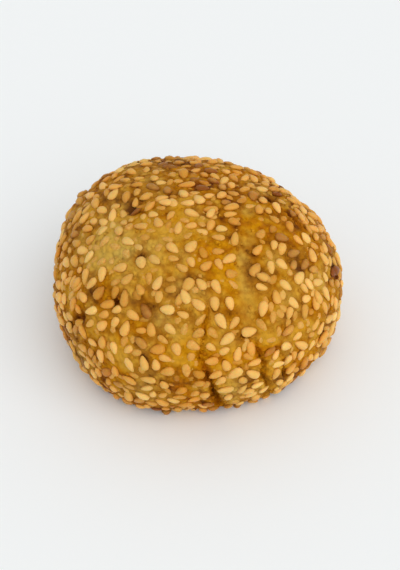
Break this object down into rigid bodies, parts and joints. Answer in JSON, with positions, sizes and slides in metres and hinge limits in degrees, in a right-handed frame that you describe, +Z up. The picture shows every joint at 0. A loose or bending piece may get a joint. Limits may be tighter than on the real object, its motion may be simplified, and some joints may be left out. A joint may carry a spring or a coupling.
{
  "type": "sesame-coated tahini cookie",
  "caption": "Domed baked cookie with an uneven round plan and a flat base, rolled in sesame seeds, with a shallow groove, cracks at its foot and small pits.",
  "frame": {"origin": "middle of the flat base, on the surface that the cookie rests on", "axes": "+Z up through the crown, +X to the cookie's right and +Y to its back as seen from the picture's side"},
  "size_m": [0.0618, 0.0645, 0.0357],
  "materials": {
    "sesame_crust": "matte baked dough, golden with orange-brown toasting and a slight sheen of oil",
    "sesame_seeds": "pale gold toasted sesame seeds, satin"
  },
  "bodies": {
    "root": {"cookie": "sesame_crust"}
  },
  "joints": []
}
